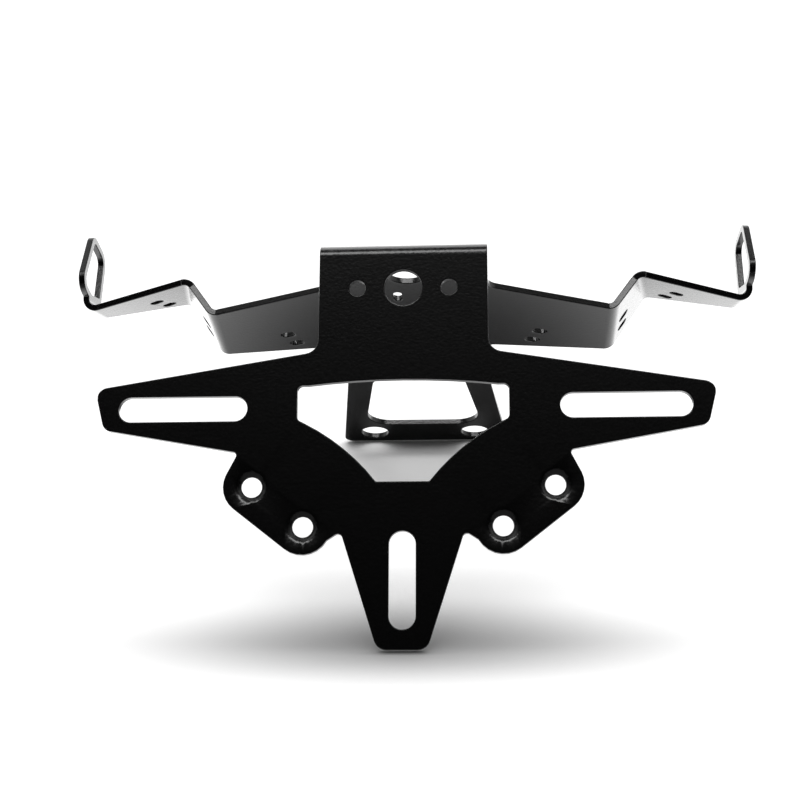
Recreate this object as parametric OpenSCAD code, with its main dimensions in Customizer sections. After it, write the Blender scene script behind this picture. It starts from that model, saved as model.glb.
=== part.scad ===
// Tail tidy for a motorbike, folded from one laser-cut steel sheet.
// A winged number plate bracket hangs at the front from a tab. Behind the main
// fold a sloping sheet runs down to a crossbar, and carries two bent arms that
// each end in an upright eye for an indicator.
// X is across the bike, Y points away from the number plate and Z points up.
// The part stands on the bracket's bottom edge and on the crossbar's far edge.

/* [Sheet] */
// Thickness of the steel sheet
sheet_t = 2; // [1.5:0.1:2.5]
// Inside radius of the main fold between bracket and rear sheet
fold_r = 2; // [1.5:0.5:4]
// Inside radius of the bends in the arms
bend_r = 2; // [1.5:0.25:2.5]
// Length of the bracket, from the sharp line of the main fold to its bottom edge
bracket_len = 114.4; // [112:0.2:120]
// Length of the rear sheet, from the sharp line of the main fold to its far edge
rear_len = 140; // [138:0.5:148]
// Angle between the bracket and the vertical
bracket_lean = 33.4; // [29:0.2:37]

/* [Bracket] */
// Width of the tab that joins the bracket to the rear sheet
tab_w = 47; // [44:0.5:50]
// Fillet where the tab meets the wings
tab_fillet = 4; // [2:0.5:5]
// Distance from the fold line down to the wings, at the tab
wing_drop = 32.6; // [31:0.2:34]
// Span over both wings
wing_span = 170.6; // [166:0.2:178]
// Height of the wings at their tips, before rounding
wing_tip_h = 11.6; // [11:0.2:14]
// Fall of the wings' upper edge and rise of their lower edge, in degrees
wing_slope = 9.4; // [8:0.2:11]
// Rounding of the wing tips
wing_tip_r = 3; // [2:0.5:4]
// Rounding of the notch between wing and lobe
notch_r = 1; // [0.8:0.1:1.4]
// Width of the plate slots in the wings
wing_slot_w = 7; // [5:0.5:8]
// Length of the plate slots in the wings, over their round ends
wing_slot_len = 35.6; // [28:0.2:38]
// Distance from the wing tips to the centres of the plate slots
wing_slot_inset = 24.8; // [24.5:0.1:27]
// Distance from the fold line down to the plate slots
wing_slot_drop = 48.7; // [48:0.1:49.5]

/* [Bracket opening] */
// Width of the large opening
opening_w = 57.8; // [50:0.2:62]
// Distance from the fold line down to the opening's upper edge, at the middle
opening_drop = 40.9; // [39:0.1:44]
// Rise of the arched upper edge
opening_arch = 1.5; // [0.5:0.1:3]
// Height of the opening's straight sides
opening_side_h = 9.6; // [8:0.2:11]
// Distance from the fold line down to the opening's bottom
opening_bottom_drop = 69.4; // [67:0.2:72]
// Half width of the opening at its bottom
opening_foot_w = 7.2; // [5:0.2:9]
// Bulge of the bracket's arms into the opening
opening_bulge = 1.4; // [0.5:0.1:3]
// Rounding of the opening's corners
opening_corner_r = 1.5; // [1:0.25:2]
// Step from the opening's sides in to the bracket's arms
opening_step = 2; // [1:0.25:2.5]
// Part of the arched edge, at each end, that the corners take up
opening_corner_w = 3; // [2.5:0.25:4]

/* [Bracket holes] */
// Through diameter of the countersunk screw holes
screw_d = 5.5; // [4.5:0.1:6]
// Diameter of the countersinks at the front face
sink_d = 9.6; // [8.5:0.1:10.5]
// Depth of the countersinks
sink_depth = 1.4; // [1:0.1:1.4]
// Width of the sheet round the screw holes, from the hole's centre to the edge
lobe_r = 7.7; // [7:0.1:8.5]
// Distance between the outer pair of screw holes
outer_screw_gap = 82; // [80:0.5:84]
// Distance from the fold line down to the outer pair of screw holes
outer_screw_drop = 70.5; // [69:0.1:72]
// Distance between the inner pair of screw holes
inner_screw_gap = 53.8; // [52:0.2:56]
// Distance from the fold line down to the inner pair of screw holes
inner_screw_drop = 81.5; // [80:0.1:83]
// Distance from the fold line down to the row of holes in the tab
tab_hole_drop = 14.4; // [13:0.1:18]
// Diameter of the cable hole in the tab
cable_hole_d = 10.5; // [8:0.5:12]
// Diameter of the small holes for the plate light
light_hole_d = 4.5; // [3.5:0.1:5.5]
// Distance between the small holes for the plate light
light_hole_gap = 25.5; // [22:0.5:32]

/* [Bracket tongue] */
// Width of the tongue at its root
tongue_root_w = 30.8; // [29:0.2:33]
// Width of the tongue at its bottom edge, before rounding
tongue_tip_w = 13.2; // [13:0.2:18]
// Distance from the fold line down to the notch beside the tongue
tongue_root_drop = 83; // [82:0.2:84]
// Rounding of the notch beside the tongue
tongue_root_r = 1.2; // [0.8:0.1:1.4]
// Rounding of the tongue's bottom corners
tongue_tip_r = 3.5; // [2:0.5:4.5]
// Width of the slot in the tongue
tongue_slot_w = 7.1; // [5:0.1:7.5]
// Length of the slot in the tongue, over its round ends
tongue_slot_len = 26.1; // [20:0.1:28]
// Distance from the bottom edge up to the slot in the tongue
tongue_slot_lift = 5.4; // [4.5:0.1:7]

/* [Rear sheet] */
// Distance from the fold line to the arms' near edge, at the tab's side
arm_near = 25.3; // [24.5:0.1:27]
// Angle of the arms' near edge to the fold line
arm_sweep = 21.5; // [19:0.5:23]
// Distance from the fold line to the arms' far edge, at the legs
arm_far = 62.6; // [61:0.2:64]
// Distance from the fold line to the arms' far edge, at the first bend
arm_far_end = 67.3; // [66:0.1:69]
// Fillet where the arms meet the tab and the legs
arm_fillet = 4; // [2:0.5:5]
// Width over the legs just behind the arms
leg_top_w = 41.4; // [40:0.2:44]
// Width over the legs at the crossbar
leg_end_w = 59; // [56:0.5:64]
// Distance from the fold line to the window between the legs
window_near = 88; // [86:0.5:92]
// Width of the crossbar, from the window to the far edge
bar_w = 14.5; // [14:0.1:18]
// Width of the window at its near edge
window_near_w = 30; // [28:0.5:32]
// Width of the window at the crossbar
window_far_w = 41.2; // [38:0.2:44]
// Rounding of the window's near corners
window_near_r = 4; // [2:0.5:5]
// Rounding of the window's far corners
window_far_r = 8; // [4:0.5:9]
// Rounding of the crossbar's outer corners
bar_corner_r = 3; // [2:0.5:4]
// Distance between the fixing holes in the crossbar
tail_hole_gap = 35.8; // [34:0.2:38]
// Diameter of the fixing holes in the crossbar
tail_hole_d = 9.8; // [8:0.2:10.4]
// Distance from the far edge to the centres of the fixing holes
tail_hole_inset = 7.6; // [7:0.1:8]
// Diameter of the cable hole in the rear sheet
rear_hole_d = 12.5; // [10:0.5:13]
// Distance from the fold line to the cable hole in the rear sheet
rear_hole_drop = 16.2; // [15.5:0.1:18]
// Distance from the fold line to the middle of the small slot behind the tab's hole
back_slot_drop = 30.4; // [29.6:0.2:32]
// Distance of that slot from the middle, towards the left
back_slot_side = 3.4; // [2:0.2:5]
// Length of that slot, over its round ends
back_slot_len = 5.2; // [4:0.2:6]
// Width of that slot
back_slot_w = 2.5; // [2:0.1:3]

/* [Arms] */
// Distance from the middle to the arms' first bend, along the rear sheet
first_bend_x = 61; // [59:0.5:63]
// Angle of the first bend, which turns the arm up
first_bend_a = 55.5; // [50:0.5:60]
// Length of the riser between the first and second bends, at its near edge
riser_len = 13.6; // [13:0.1:17]
// Angle in the riser between the first and second bend lines
second_bend_skew = 16.4; // [12:0.2:18]
// Angle of the second bend, which turns the arm down again
second_bend_a = 66; // [60:1:72]
// Width of the outer arm along the second bend
outer_arm_w = 25; // [23:0.5:26]
// Length of the outer arm to the third bend, along its near edge
outer_arm_len = 33; // [31:0.5:37]
// Offset of the near edge along the outer arm's length
outer_arm_shift = 17; // [15:0.5:19]
// Width of the outer arm along the third bend
outer_arm_end_w = 11.5; // [10:0.5:13]
// Angle in the outer arm between the second and third bend lines
third_bend_skew = 14; // [10:0.5:18]
// Angle of the third bend, which turns the eye upright
third_bend_a = 97; // [92:1:102]

/* [Eyes] */
// Height of the eye above the third bend, before rounding
eye_h = 25.2; // [24.6:0.2:28]
// Reach of the eye past the near side of its foot, before rounding
eye_near = 6.4; // [5.6:0.2:8]
// Reach of the eye past the far side of its foot, before rounding
eye_far = 6.2; // [5.6:0.2:8]
// Width of the ring round the eye's hole
eye_ring_w = 2.3; // [2.1:0.1:3]
// Height of the eye's near corner above the foot, before rounding
eye_near_lift = 4; // [3:0.5:5]
// Drop from the eye's top to its far corner, before rounding
eye_far_drop = 5.5; // [4.5:0.5:6.5]
// Rounding of the eye's near and far corners
eye_side_r = 5; // [4:0.5:6]
// Rounding of the eye's top
eye_top_r = 3.5; // [2.5:0.5:4]
// Rounding of the eye's corners at the foot
eye_foot_r = 3; // [2:0.5:3.5]
// Distance from the foot's near side to the lowest corner of the ring
eye_foot_near = 2.5; // [2:0.25:3.5]

/* [Tie slots] */
// Distance from the middle to the slots in the arms, along the rear sheet
arm_tie_x = 38.3; // [36:0.1:40]
// Distance from the fold line to the slots in the arms
arm_tie_y = 57; // [56:0.1:58]
// Distance from the first bend line to the slots in the riser
riser_tie_x = 5; // [4:0.1:6]
// Distance from the fold line to the slots in the riser
riser_tie_y = 57.2; // [55:0.1:59]
// Distance from the second bend line to the slots in the outer arm
outer_tie_x = 9.7; // [8:0.1:12]
// Distance from the outer arm's near edge to its slots, at the second bend
outer_tie_y = 19; // [17:0.1:20]
// Angle of the slots in the outer arm to the second bend line
outer_tie_a = 40; // [30:1:50]
// Length of the small slots for cable ties
tie_slot_len = 4.6; // [3.6:0.1:5.2]
// Width of the small slots for cable ties
tie_slot_w = 2.8; // [2:0.1:3]
// Distance between the two slots of a pair
tie_slot_gap = 6; // [5:0.5:7]

/* [Hidden] */
$fn = 48;

// How far a tool reaches past the face that it cuts
over = 1;
// Short straight leg of each bend, which wraps the edge of the flat next to it
bend_leg = 0.4;
// How far a bend stands proud of its flats all round, so that it holds their edges
proud = 0.01;
// Greatest turn between two points on a rounded outline
arc_step = 15;
// Greatest turn between two facets of a bend
bend_step = 9;
// Where the rounding of the outer and the inner lobe ends, as angles to X
outer_lobe_a = 25;
inner_lobe_a = -150;
// Smallest rounding inside a ring
ring_inner_r = 0.8;
// Difference in height between the ring's two corners at the foot
foot_tilt = 0.4;

half_tab = tab_w / 2;
fold_outer_r = fold_r + sheet_t;
// The rear sheet slopes so that the bracket and the crossbar both reach the ground
apex_z = bracket_len * cos(bracket_lean) + sheet_t * sin(bracket_lean);
rear_drop = asin(apex_z / norm([rear_len, sheet_t])) - atan(sheet_t / rear_len);
apex_y = (bracket_len * sin(bracket_lean) - rear_len * cos(rear_drop)) / 2;
fold_a = 90 + rear_drop - bracket_lean;
fold_setback = fold_outer_r * tan(fold_a / 2);

first_setback = bend_r * tan(first_bend_a / 2);
second_setback = (bend_r + sheet_t) * tan(second_bend_a / 2);
third_setback = bend_r * tan(third_bend_a / 2);

// Where the arms' edges meet the first bend, along the rear sheet
flat_end_x = first_bend_x - first_setback;
arm_near_end = arm_near + (first_bend_x - half_tab) * tan(arm_sweep);

function unit(v) = v / norm(v);
function turned(v, a) = [v.x * cos(a) - v.y * sin(a), v.x * sin(a) + v.y * cos(a)];
function flipped(points) = [for (i = [len(points) - 1:-1:0]) [-points[i].x, points[i].y, points[i].z]];

// Points of one corner of an outline, rounded to the radius in its third value
function corner(before, at, after) =
    let (
        p = [at.x, at.y],
        u = unit([before.x, before.y] - p),
        v = unit([after.x, after.y] - p),
        half = acos(max(-1, min(1, u * v))) / 2,
        centre = p + unit(u + v) * at.z / sin(half),
        start = p + u * at.z / tan(half) - centre,
        sweep = 180 - 2 * half,
        side = u.x * v.y - u.y * v.x > 0 ? -1 : 1,
        n = ceil(sweep / arc_step)
    )
    at.z == 0 ? [p] : [for (k = [0:n]) centre + turned(start, side * sweep * k / n)];

// Outline from [x, y, corner radius] points
function rounded(points) = [
    let (n = len(points))
    for (i = [0:n - 1])
    each corner(points[(i + n - 1) % n], points[i], points[(i + 1) % n])
];

// Points along an arc from a to b that bulges to the left of that line
function bulge(a, b, rise, n) =
    let (
        chord = norm(b - a),
        r = (chord * chord / 4 + rise * rise) / (2 * rise),
        along = unit(b - a),
        left = turned(along, 90),
        centre = (a + b) / 2 + left * (rise - r),
        reach = asin(chord / 2 / r)
    )
    [for (k = [0:n]) let (q = reach * (2 * k / n - 1)) centre + left * r * cos(q) + along * r * sin(q)];

// Corners moved inwards, so that each side moves by the same distance
function inset(points, d) = [
    let (n = len(points))
    for (i = [0:n - 1])
    let (
        p = [points[i].x, points[i].y],
        before = points[(i + n - 1) % n],
        after = points[(i + 1) % n],
        u = unit([before.x, before.y] - p),
        v = unit([after.x, after.y] - p),
        half = acos(u * v) / 2,
        q = p + unit(u + v) * d / sin(half)
    )
    [q.x, q.y, max(ring_inner_r, points[i].z - d)]
];

function sharp(points) = [for (p = points) [p.x, p.y, 0]];

// Points along an arc about a centre, from one angle to another
function arc(centre, r, from, to) =
    let (n = ceil(abs(to - from) / arc_step))
    sharp([for (k = [0:n]) centre + turned([r, 0], from + (to - from) * k / n)]);

// Sheet that turns through an angle about an inside radius, in the plane of its
// profile. The outside face starts at the origin, level, and curls downwards.
module bend_profile(inner_r, angle) {
    n = ceil(angle / bend_step);
    outer_r = inner_r + sheet_t;
    skin_out = outer_r + proud;
    skin_in = inner_r - proud;
    steps = [for (k = [0:n]) angle * k / n];
    outside = [for (a = steps) [skin_out * sin(a), skin_out * cos(a) - outer_r]];
    inside = [for (k = [n:-1:0]) [skin_in * sin(steps[k]), skin_in * cos(steps[k]) - outer_r]];
    along = turned([bend_leg, 0], -angle);
    polygon(concat(
        [[-bend_leg, proud]],
        outside,
        [outside[n] + along, inside[0] + along],
        inside,
        [[-bend_leg, -sheet_t - proud]]
    ));
}

// Places an outline's plane in its flat: X stays across, Y runs along the sheet,
// and Z leaves the outside face, below which the sheet lies
module in_bracket() {
    translate([0, apex_y, apex_z]) rotate([90 - bracket_lean, 0, 0]) children();
}

module in_rear() {
    translate([0, apex_y, apex_z]) rotate([-rear_drop, 0, 0]) children();
}

module both_sides() {
    children();
    mirror([1, 0, 0]) children();
}

module sheet(points) {
    translate([0, 0, -sheet_t]) linear_extrude(sheet_t) polygon(points);
}

module through() {
    translate([0, 0, -sheet_t - over]) linear_extrude(sheet_t + 2 * over) children();
}

module hole(d) {
    translate([0, 0, -sheet_t - over]) cylinder(d = d, h = sheet_t + 2 * over);
}

// Round-ended slot along X, through the sheet
module slot(length, width) {
    for (x = [-1, 1]) translate([x * (length - width) / 2, 0, 0]) hole(width);
    through() square([length - width, width], center = true);
}

module tie_slots(x, y, a) {
    translate([x, y, 0]) rotate(a) both_ties();
}

module both_ties() {
    for (y = [-0.5, 0.5]) translate([0, y * tie_slot_gap, 0]) slot(tie_slot_len, tie_slot_w);
}

// Countersunk screw hole, open to the front face
module screw_hole() {
    hole(screw_d);
    translate([0, 0, -sink_depth]) cylinder(d1 = screw_d, d2 = sink_d, h = sink_depth);
    cylinder(d = sink_d, h = over);
}

// Right half of the bracket's edge, from the tab down to the tongue
function bracket_edge() =
    let (
        half_span = wing_span / 2,
        fall = (half_span - half_tab) * tan(wing_slope),
        tip_top = -wing_drop - fall,
        tip_low = tip_top - wing_tip_h,
        notch_x = outer_screw_gap / 2 + lobe_r / 2,
        notch_y = tip_low - (half_span - notch_x) * tan(wing_slope),
        outer = [outer_screw_gap / 2, -outer_screw_drop],
        inner = [inner_screw_gap / 2, -inner_screw_drop],
        along = unit(inner - outer),
        side_a = atan2(along.y, along.x) + 90
    )
    concat(
        [[half_tab, -fold_setback, 0], [half_tab, -wing_drop, tab_fillet]],
        [[half_span, tip_top, wing_tip_r], [half_span - wing_tip_r, tip_low, wing_tip_r]],
        [[notch_x, notch_y, notch_r]],
        arc(outer, lobe_r, outer_lobe_a, side_a),
        arc(inner, lobe_r, side_a, inner_lobe_a),
        [[tongue_root_w / 2 + tongue_root_r, -tongue_root_drop, tongue_root_r]],
        [[tongue_tip_w / 2, -bracket_len, tongue_tip_r]]
    );

module bracket_blank() {
    edge = bracket_edge();
    sheet(rounded(concat(edge, flipped(edge))));
}

// Large opening under the tab, with an arched top and a bottom that narrows
module opening() {
    half = opening_w / 2;
    top = -opening_drop - opening_arch;
    low = top - opening_side_h;
    side = [[half, top, opening_corner_r], [half, low, opening_corner_r]];
    foot = [opening_foot_w, -opening_bottom_drop];
    flank = bulge(foot, [half - opening_step, low - opening_step / 2], opening_bulge, 6);
    flank_edge = sharp([for (i = [len(flank) - 1:-1:0]) flank[i]]);
    arch_end = half - opening_corner_w;
    arch = sharp(bulge([-arch_end, top], [arch_end, top], opening_arch, 8));
    half_edge = concat(side, flank_edge);
    through() polygon(rounded(concat(arch, half_edge, flipped(half_edge))));
}

module bracket_cuts() {
    opening();
    both_sides() {
        translate([wing_span / 2 - wing_slot_inset, -wing_slot_drop, 0])
            slot(wing_slot_len, wing_slot_w);
        translate([outer_screw_gap / 2, -outer_screw_drop, 0]) screw_hole();
        translate([inner_screw_gap / 2, -inner_screw_drop, 0]) screw_hole();
        translate([light_hole_gap / 2, -tab_hole_drop, 0]) hole(light_hole_d);
    }
    translate([0, -tab_hole_drop, 0]) hole(cable_hole_d);
    translate([0, -bracket_len + tongue_slot_lift + tongue_slot_len / 2, 0])
        rotate(90) slot(tongue_slot_len, tongue_slot_w);
}

module bracket() {
    in_bracket() difference() {
        bracket_blank();
        bracket_cuts();
    }
}

module main_fold() {
    in_bracket() translate([0, -fold_setback, 0])
        rotate([90, 0, 90]) linear_extrude(tab_w + 2 * proud, center = true)
        bend_profile(fold_r, fold_a);
}

// Right half of the rear sheet's edge, from the fold out to the arm and down the leg
function rear_edge() = [
    [half_tab, fold_setback, 0],
    [half_tab, arm_near, arm_fillet],
    [flat_end_x, arm_near_end, 0],
    [flat_end_x, arm_far_end, 0],
    [leg_top_w / 2, arm_far, arm_fillet],
    [leg_end_w / 2, rear_len, bar_corner_r]
];

module rear_blank() {
    edge = rear_edge();
    sheet(rounded(concat(edge, flipped(edge))));
}

module window() {
    edge = [
        [window_near_w / 2, window_near, window_near_r],
        [window_far_w / 2, rear_len - bar_w, window_far_r]
    ];
    through() polygon(rounded(concat(edge, flipped(edge))));
}

module rear_cuts() {
    window();
    translate([0, rear_hole_drop, 0]) hole(rear_hole_d);
    translate([-back_slot_side, back_slot_drop, 0]) rotate(90) slot(back_slot_len, back_slot_w);
    both_sides() {
        translate([tail_hole_gap / 2, rear_len - tail_hole_inset, 0]) hole(tail_hole_d);
        tie_slots(arm_tie_x, arm_tie_y, arm_sweep);
    }
}

module rear_sheet() {
    in_rear() difference() {
        rear_blank();
        rear_cuts();
    }
}

// Moves on past a bend that turns the sheet up, or down, about the local Y axis
module past_bend_up(angle) {
    translate([0, 0, bend_r]) rotate([0, -angle, 0]) translate([0, 0, -bend_r]) children();
}

module past_bend_down(angle) {
    outer_r = bend_r + sheet_t;
    translate([0, 0, -outer_r]) rotate([0, angle, 0]) translate([0, 0, outer_r]) children();
}

module bend_down(angle, from, to) {
    translate([0, to + proud, 0]) rotate([90, 0, 0])
        linear_extrude(to - from + 2 * proud) bend_profile(bend_r, angle);
}

module bend_up(angle, from, to) {
    translate([0, 0, -sheet_t]) mirror([0, 0, 1]) bend_down(angle, from, to);
}

module in_riser() {
    translate([flat_end_x, 0, 0]) past_bend_up(first_bend_a)
        translate([-first_setback, 0, 0]) children();
}

module at_second_bend() {
    in_riser() translate([riser_len, arm_near_end, 0]) rotate(-second_bend_skew) children();
}

module in_outer_arm() {
    at_second_bend() translate([-second_setback, 0, 0]) past_bend_down(second_bend_a)
        translate([-second_setback, 0, 0]) children();
}

module at_third_bend() {
    in_outer_arm() translate([outer_arm_len, outer_arm_shift, 0])
        rotate(third_bend_skew) children();
}

module in_eye() {
    at_third_bend() translate([-third_setback, 0, 0]) past_bend_up(third_bend_a)
        translate([-third_setback, 0, 0]) children();
}

module riser() {
    skew = turned([0, 1], -second_bend_skew);
    near = [riser_len, arm_near_end] - second_setback * turned([1, 0], -second_bend_skew);
    far = near + outer_arm_w * skew;
    difference() {
        sheet([
            [first_setback, arm_near_end],
            near,
            far,
            [first_setback, arm_far_end]
        ]);
        tie_slots(riser_tie_x, riser_tie_y, 0);
    }
}

module outer_arm() {
    skew = turned([0, 1], third_bend_skew);
    near = [outer_arm_len, outer_arm_shift] - third_setback * turned([1, 0], third_bend_skew);
    far = near + outer_arm_end_w * skew;
    difference() {
        sheet([
            [second_setback, 0],
            near,
            far,
            [second_setback, outer_arm_w]
        ]);
        tie_slots(outer_tie_x, outer_tie_y, outer_tie_a);
    }
}

// Upright ring whose hole follows its outline, on a foot as wide as the arm's end
module eye() {
    outline = [
        [eye_ring_w + eye_near_lift, -eye_near, eye_side_r],
        [eye_h, outer_arm_end_w / 2, eye_top_r],
        [eye_h - eye_far_drop, outer_arm_end_w + eye_far, eye_side_r],
        [eye_ring_w, outer_arm_end_w, eye_foot_r],
        [eye_ring_w - foot_tilt, eye_foot_near, eye_foot_r]
    ];
    foot_end = 2 * eye_ring_w;
    difference() {
        union() {
            sheet(rounded(outline));
            sheet([
                [third_setback, 0],
                [foot_end, 0],
                [foot_end, outer_arm_end_w],
                [third_setback, outer_arm_end_w]
            ]);
        }
        through() polygon(rounded(inset(outline, eye_ring_w)));
    }
}

module arm() {
    in_rear() {
        translate([flat_end_x, 0, 0]) bend_up(first_bend_a, arm_near_end, arm_far_end);
        in_riser() riser();
        at_second_bend() translate([-second_setback, 0, 0])
            bend_down(second_bend_a, 0, outer_arm_w);
        in_outer_arm() outer_arm();
        at_third_bend() translate([-third_setback, 0, 0])
            bend_up(third_bend_a, 0, outer_arm_end_w);
        in_eye() eye();
    }
}

module tail_tidy() {
    color([0.07, 0.07, 0.08]) {
        bracket();
        main_fold();
        rear_sheet();
        both_sides() arm();
    }
}

tail_tidy();
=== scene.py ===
import math

import bmesh
import bpy
import numpy as np
from mathutils import Matrix


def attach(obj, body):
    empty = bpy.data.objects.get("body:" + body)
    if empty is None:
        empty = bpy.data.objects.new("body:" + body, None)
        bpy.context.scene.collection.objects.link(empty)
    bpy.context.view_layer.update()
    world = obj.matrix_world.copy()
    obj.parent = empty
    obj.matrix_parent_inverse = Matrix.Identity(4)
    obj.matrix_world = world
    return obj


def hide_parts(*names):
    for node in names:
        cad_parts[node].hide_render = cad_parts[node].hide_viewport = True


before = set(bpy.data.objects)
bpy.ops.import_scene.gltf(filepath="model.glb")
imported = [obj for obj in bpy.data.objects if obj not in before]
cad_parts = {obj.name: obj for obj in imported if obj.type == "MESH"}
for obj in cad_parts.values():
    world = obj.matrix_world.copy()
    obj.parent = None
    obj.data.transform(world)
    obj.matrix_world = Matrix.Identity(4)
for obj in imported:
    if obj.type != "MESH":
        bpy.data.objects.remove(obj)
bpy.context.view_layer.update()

MM = 0.001
scene = bpy.context.scene

# Camera
# The photograph is taken from in front of the number plate bracket, a little to the right and
# from about 45 cm away, looking down at 18 degrees. The lens is the one that gives its perspective.
CAMERA_AT = (24.1 * MM, -433.0 * MM, 185.1 * MM)
LOOK_LEFT = 3.67
LOOK_DOWN = 18.2
CAMERA_ROLL = 1.86
LENS = 67.5
NEAREST = 10 * MM

lens = bpy.data.cameras.new("camera")
lens.lens = LENS
lens.clip_start = NEAREST
camera = bpy.data.objects.new("camera", lens)
camera.matrix_world = (
    Matrix.Translation(CAMERA_AT)
    @ Matrix.Rotation(math.radians(LOOK_LEFT), 4, "Z")
    @ Matrix.Rotation(math.radians(90 - LOOK_DOWN), 4, "X")
    @ Matrix.Rotation(math.radians(-CAMERA_ROLL), 4, "Z")
)
scene.collection.objects.link(camera)
scene.camera = camera


# Folded sheet
# The whole tail tidy is one blank of 2 mm steel, cut by laser and folded in a press brake.
# The coat rounds every cut edge a little, which is what draws a thin light line along it.
EDGE_ROUND = 0.3 * MM
EDGE_STEPS = 3
SHARP_ANGLE = math.radians(40)
WELD = 0.1 * MM
FLAT_ANGLE = math.radians(0.5)
AREA_WEIGHT = 100

# The weld closes the steps of 0.01 mm where a bend ends. The bevel runs on triangles and doesn't
# slide along them, because large faces with holes would fold over themselves.
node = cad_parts["tail_tidy"]
mesh = node.data.copy()
mesh.name = "coated_sheet"
bm = bmesh.new()
bm.from_mesh(mesh)
bmesh.ops.remove_doubles(bm, verts=bm.verts, dist=WELD)
bmesh.ops.dissolve_degenerate(bm, edges=bm.edges, dist=WELD)
bmesh.ops.dissolve_limit(bm, angle_limit=FLAT_ANGLE, verts=bm.verts, edges=bm.edges)
bmesh.ops.triangulate(bm, faces=bm.faces[:])
bm.to_mesh(mesh)
bm.free()
mesh.shade_smooth()
mesh.set_sharp_from_angle(angle=SHARP_ANGLE)
sheet = bpy.data.objects.new("coated_sheet", mesh)
scene.collection.objects.link(sheet)
bevel = sheet.modifiers.new("edge round", "BEVEL")
bevel.width = EDGE_ROUND
bevel.segments = EDGE_STEPS
bevel.limit_method = "ANGLE"
bevel.angle_limit = SHARP_ANGLE
bevel.use_clamp_overlap = False
bevel.loop_slide = False
bevel.harden_normals = True
bevel.face_strength_mode = "FSTR_ALL"
even = sheet.modifiers.new("flats stay flat", "WEIGHTED_NORMAL")
even.mode = "FACE_AREA"
even.weight = AREA_WEIGHT
even.keep_sharp = False
even.use_face_influence = True
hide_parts("tail_tidy")
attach(sheet, "root")


def linear(hex_colour):
    """sRGB hex to linear RGBA: each channel by the piecewise sRGB curve."""
    srgb = np.array([int(hex_colour[i : i + 2], 16) for i in (1, 3, 5)]) / 255
    low = srgb / 12.92
    high = ((srgb + 0.055) / 1.055) ** 2.4
    return (*np.where(srgb <= 0.04045, low, high), 1.0)


def add(material, kind, settings=None, links=None):
    """One node of that kind: settings fill its properties or inputs, links feed its inputs.
    An input is named or, where a node has several of one name, numbered."""
    made = material.node_tree.nodes.new(kind)
    for name, value in (settings or {}).items():
        if name in made.inputs:
            made.inputs[name].default_value = value
        else:
            setattr(made, name, value)
    for name, source in (links or {}).items():
        material.node_tree.links.new(source, made.inputs[name])
    return made


# Black polyester powder coat, cured on blasted steel: satin, with a fine orange peel that breaks
# up what it mirrors. The grain is drawn a little coarser than the real 0.2 mm, so that it shows.
COAT_BLACK = "#020203"
COAT_IOR = 1.5
GLOSSIEST = 0.20
DULLEST = 0.28
GRAIN_SIZE = 0.7 * MM
GRAIN_HEIGHT = 0.040 * MM
GRAIN_DETAIL = 2.0

coat = bpy.data.materials.new("satin black powder coat")
coat.use_nodes = True
coat.node_tree.nodes.clear()
place = add(coat, "ShaderNodeTexCoord")
grain = add(
    coat,
    "ShaderNodeTexNoise",
    {"Scale": 1 / GRAIN_SIZE, "Detail": GRAIN_DETAIL},
    {"Vector": place.outputs["Object"]},
)
peel = add(
    coat,
    "ShaderNodeBump",
    {"Strength": 1.0, "Distance": GRAIN_HEIGHT},
    {"Height": grain.outputs["Fac"]},
)
shine = add(
    coat,
    "ShaderNodeMapRange",
    {"To Min": GLOSSIEST, "To Max": DULLEST},
    {"Value": grain.outputs["Fac"]},
)
paint = add(
    coat,
    "ShaderNodeBsdfPrincipled",
    {"Base Color": linear(COAT_BLACK), "IOR": COAT_IOR},
    {"Roughness": shine.outputs["Result"], "Normal": peel.outputs["Normal"]},
)
add(coat, "ShaderNodeOutputMaterial", links={"Surface": paint.outputs["BSDF"]})
mesh.materials.clear()
mesh.materials.append(coat)


# Floor and backdrop
# A pale studio room of matt card: a round floor, and a wall that curves up from it behind the
# object and at both sides. In the coat's mirror the card glows brighter than white: a painted
# glow that stands in for light from behind.
ROOM_RADIUS = 2.0
COVE_RADIUS = 0.5
COVE_STEPS = 16
WALL_TOP = 4.3
WALL_HALF_ANGLE = 110
WALL_STEPS = 48
FLOOR_STEPS = 96
FLOOR_MIDDLE = 0.01 * MM
CARD_WHITE = "#e6e6e6"
CARD_LIFT = 0.95
CARD_MIRRORED = 2.8
# Painted shadows in the card's glow: contact shade from ambient occlusion, and two shadow ovals.
CONTACT_REACH = 45 * MM
CONTACT_DARK = 0.3
CONTACT_SAMPLES = 4
FRONT_SHADOW_AT = (0, -76.5 * MM)
FRONT_SHADOW_SIZE = (108 * MM, 30 * MM)
FRONT_SHADOW_CORE = 0.0
FRONT_SHADOW_LEVEL = 0.1
MIDDLE_SHADOW_AT = (0, 50 * MM)
MIDDLE_SHADOW_SIZE = (45 * MM, 45 * MM)
MIDDLE_SHADOW_CORE = 0.3
MIDDLE_SHADOW_LEVEL = 0.42
# Painted reflection: the card's glow in the coat's mirror, dark in an oval under the object and in
# front, bright behind, dimmer at the sides.
SHADE_AT = (0, 60 * MM)
SHADE_SIZE = (150 * MM, 100 * MM)
SHADE_CORE = 0.25
FRONT_DARK_TO = -90 * MM
BACK_BRIGHT_FROM = 10 * MM
SIDES_DIM_FROM = 0.4
SIDES_DIM_TO = 1.2
SIDES_LEVEL = 0.25


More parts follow.
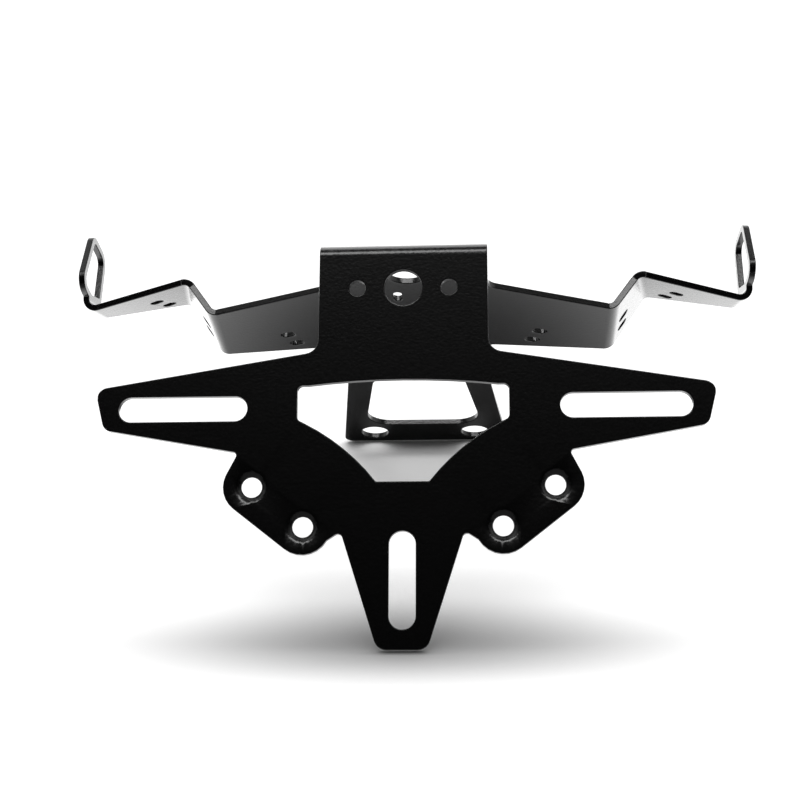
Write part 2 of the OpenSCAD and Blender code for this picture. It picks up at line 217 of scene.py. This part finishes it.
def lathe(name, radius, height, from_angle, to_angle, steps):
    """Surface of revolution about Z: the profile (radius, height) turned from angle to angle,
    where 90 degrees points along +Y. Its faces look inwards and up."""
    turn = np.radians(np.linspace(from_angle, to_angle, steps + 1))[:, None]
    rings = [np.cos(turn) * radius, np.sin(turn) * radius, np.ones_like(turn) * height]
    points = np.stack(rings, -1).reshape(-1, 3)
    across = len(radius)
    first = (np.arange(steps)[:, None] * across + np.arange(across - 1)).ravel()
    faces = np.stack([first, first + across, first + across + 1, first + 1], 1)
    made = bpy.data.meshes.new(name)
    made.from_pydata(points.tolist(), [], faces.tolist())
    made.shade_smooth()
    thing = bpy.data.objects.new(name, made)
    scene.collection.objects.link(thing)
    return thing


# Matt white card that also glows. Besides the real shadows in its matt white, the camera sees its
# glow lift it to pure white, with painted shadows in that glow: painted contact shade near the
# object, a round painted shadow under its middle and a long one along the bracket's bottom edge.
# In the coat's mirror the glow is a painted reflection: bright right behind the object, dimmer at
# the sides, and dark under the object's middle and in front.
card = bpy.data.materials.new("white card with painted shade and glow")
card.use_nodes = True
card.node_tree.nodes.clear()
card_place = add(card, "ShaderNodeTexCoord")


def oval(middle, size, core, inside, outside):
    """Level on the floor that blends from inside to outside an oval: smoothstep of the distance
    from its middle, counted in its half widths, between the core and 1."""
    scale = (1 / size[0], 1 / size[1], 1.0)
    shift = (-middle[0] / size[0], -middle[1] / size[1], 0.0)
    flat = add(
        card,
        "ShaderNodeMapping",
        {"Location": shift, "Scale": scale},
        {"Vector": card_place.outputs["Object"]},
    )
    away = add(
        card,
        "ShaderNodeVectorMath",
        {"operation": "LENGTH"},
        {0: flat.outputs["Vector"]},
    )
    blend = {"From Min": core, "To Min": inside, "To Max": outside}
    made = add(
        card,
        "ShaderNodeMapRange",
        {"interpolation_type": "SMOOTHSTEP", **blend},
        {"Value": away.outputs["Value"]},
    )
    return made.outputs["Result"]


def product(first, second):
    """Two levels multiplied."""
    made = add(card, "ShaderNodeMath", {"operation": "MULTIPLY"}, {0: first, 1: second})
    return made.outputs["Value"]


# Painted shadows: the glow the camera sees is darkened by ambient occlusion near the object and by
# the two shadow ovals.
ray = add(card, "ShaderNodeLightPath")
near = add(
    card,
    "ShaderNodeAmbientOcclusion",
    {"samples": CONTACT_SAMPLES, "Distance": CONTACT_REACH},
)
painted_contact_shade = add(
    card,
    "ShaderNodeMapRange",
    {"From Min": CONTACT_DARK, "To Max": CARD_LIFT},
    {"Value": near.outputs["AO"]},
)
front = oval(FRONT_SHADOW_AT, FRONT_SHADOW_SIZE, FRONT_SHADOW_CORE, FRONT_SHADOW_LEVEL, 1.0)
middle = oval(MIDDLE_SHADOW_AT, MIDDLE_SHADOW_SIZE, MIDDLE_SHADOW_CORE, MIDDLE_SHADOW_LEVEL, 1.0)
lift_with_painted_shadows = product(painted_contact_shade.outputs["Result"], product(front, middle))

# Painted reflection: the glow that the coat mirrors is made darker in front, under the object and
# at the sides.
split = add(card, "ShaderNodeSeparateXYZ", links={"Vector": card_place.outputs["Object"]})
behind = add(
    card,
    "ShaderNodeMapRange",
    {"From Min": FRONT_DARK_TO, "From Max": BACK_BRIGHT_FROM},
    {"Value": split.outputs["Y"]},
)
out = add(card, "ShaderNodeMath", {"operation": "ABSOLUTE"}, {0: split.outputs["X"]})
sides = add(
    card,
    "ShaderNodeMapRange",
    {"From Min": SIDES_DIM_FROM, "From Max": SIDES_DIM_TO, "To Min": 1.0, "To Max": SIDES_LEVEL},
    {"Value": out.outputs["Value"]},
)
shade = oval(SHADE_AT, SHADE_SIZE, SHADE_CORE, 0.0, CARD_MIRRORED)
painted_mirror_glow = product(shade, product(behind.outputs["Result"], sides.outputs["Result"]))

seen = add(
    card,
    "ShaderNodeMapRange",
    {"To Min": 0.0},
    {"Value": ray.outputs["Is Camera Ray"], "To Max": lift_with_painted_shadows},
)
mirrored = add(
    card,
    "ShaderNodeMapRange",
    links={
        "Value": ray.outputs["Is Glossy Ray"],
        "To Min": seen.outputs["Result"],
        "To Max": painted_mirror_glow,
    },
)
matt = add(card, "ShaderNodeBsdfDiffuse", {"Color": linear(CARD_WHITE)})
glow = add(card, "ShaderNodeEmission", links={"Strength": mirrored.outputs["Result"]})
both = add(
    card,
    "ShaderNodeAddShader",
    links={0: matt.outputs["BSDF"], 1: glow.outputs["Emission"]},
)
add(card, "ShaderNodeOutputMaterial", links={"Surface": both.outputs["Shader"]})
card.cycles.emission_sampling = "NONE"

curve = np.radians(np.linspace(0, 90, COVE_STEPS + 1))
cove_radius = ROOM_RADIUS - COVE_RADIUS * (1 - np.sin(curve))
cove_height = COVE_RADIUS * (1 - np.cos(curve))
wall_radius = np.concatenate([cove_radius, [ROOM_RADIUS]])
wall_height = np.concatenate([cove_height, [WALL_TOP]])
wall_from = 90 - WALL_HALF_ANGLE
wall_to = 90 + WALL_HALF_ANGLE
wall = lathe("wall", wall_radius, wall_height, wall_from, wall_to, WALL_STEPS)
floor_radius = np.array([FLOOR_MIDDLE, cove_radius[0]])
floor = lathe("floor", floor_radius, np.zeros(2), 0, 360, FLOOR_STEPS)
for part in (wall, floor):
    part.data.materials.append(card)


# Studio light
# A soft box over the front of the object draws the highlight along the fold. A wide one behind
# lights the card alone, evenly. What the bracket mirrors, up in front, is the dark of the room.
HIGHLIGHT_SIZE = (1.2, 0.34)
HIGHLIGHT_AT = (0.0, -0.31, 1.3)
HIGHLIGHT_LEAN = 0
HIGHLIGHT_POWER = 10.0
KEY_SIZE = (1.6, 0.5)
KEY_AT = (0.0, 0.75, 1.15)
KEY_LEAN = -33
KEY_POWER = 5.0
ROOM_LIGHT = 0.25
ROOM_MIRRORED = 0.02
ROOM_SEEN = 1.0


def soft_box(name, size, at, lean, power, mirrored):
    """A rectangular lamp, leaned from straight down about X: either one that the coat mirrors,
    or one that lights the matt card."""
    light = bpy.data.lights.new(name, "AREA")
    light.shape = "RECTANGLE"
    light.size, light.size_y = size
    light.energy = power
    lamp = bpy.data.objects.new(name, light)
    lamp.location = at
    lamp.rotation_euler = (math.radians(lean), 0, 0)
    lamp.visible_glossy = mirrored
    lamp.visible_diffuse = not mirrored
    scene.collection.objects.link(lamp)


soft_box("highlight box", HIGHLIGHT_SIZE, HIGHLIGHT_AT, HIGHLIGHT_LEAN, HIGHLIGHT_POWER, True)
soft_box("key box", KEY_SIZE, KEY_AT, KEY_LEAN, KEY_POWER, False)

room = bpy.data.worlds.new("room")
scene.world = room
room.use_nodes = True
room.node_tree.nodes.clear()
room.cycles.sampling_method = "NONE"
view_ray = add(room, "ShaderNodeLightPath")
dim = add(
    room,
    "ShaderNodeMapRange",
    {"To Min": ROOM_LIGHT, "To Max": ROOM_MIRRORED},
    {"Value": view_ray.outputs["Is Glossy Ray"]},
)
level = add(
    room,
    "ShaderNodeMapRange",
    {"To Max": ROOM_SEEN},
    {"Value": view_ray.outputs["Is Camera Ray"], "To Min": dim.outputs["Result"]},
)
air = add(room, "ShaderNodeBackground", links={"Strength": level.outputs["Result"]})
add(room, "ShaderNodeOutputWorld", links={"Surface": air.outputs["Background"]})

scene.view_settings.view_transform = "Standard"
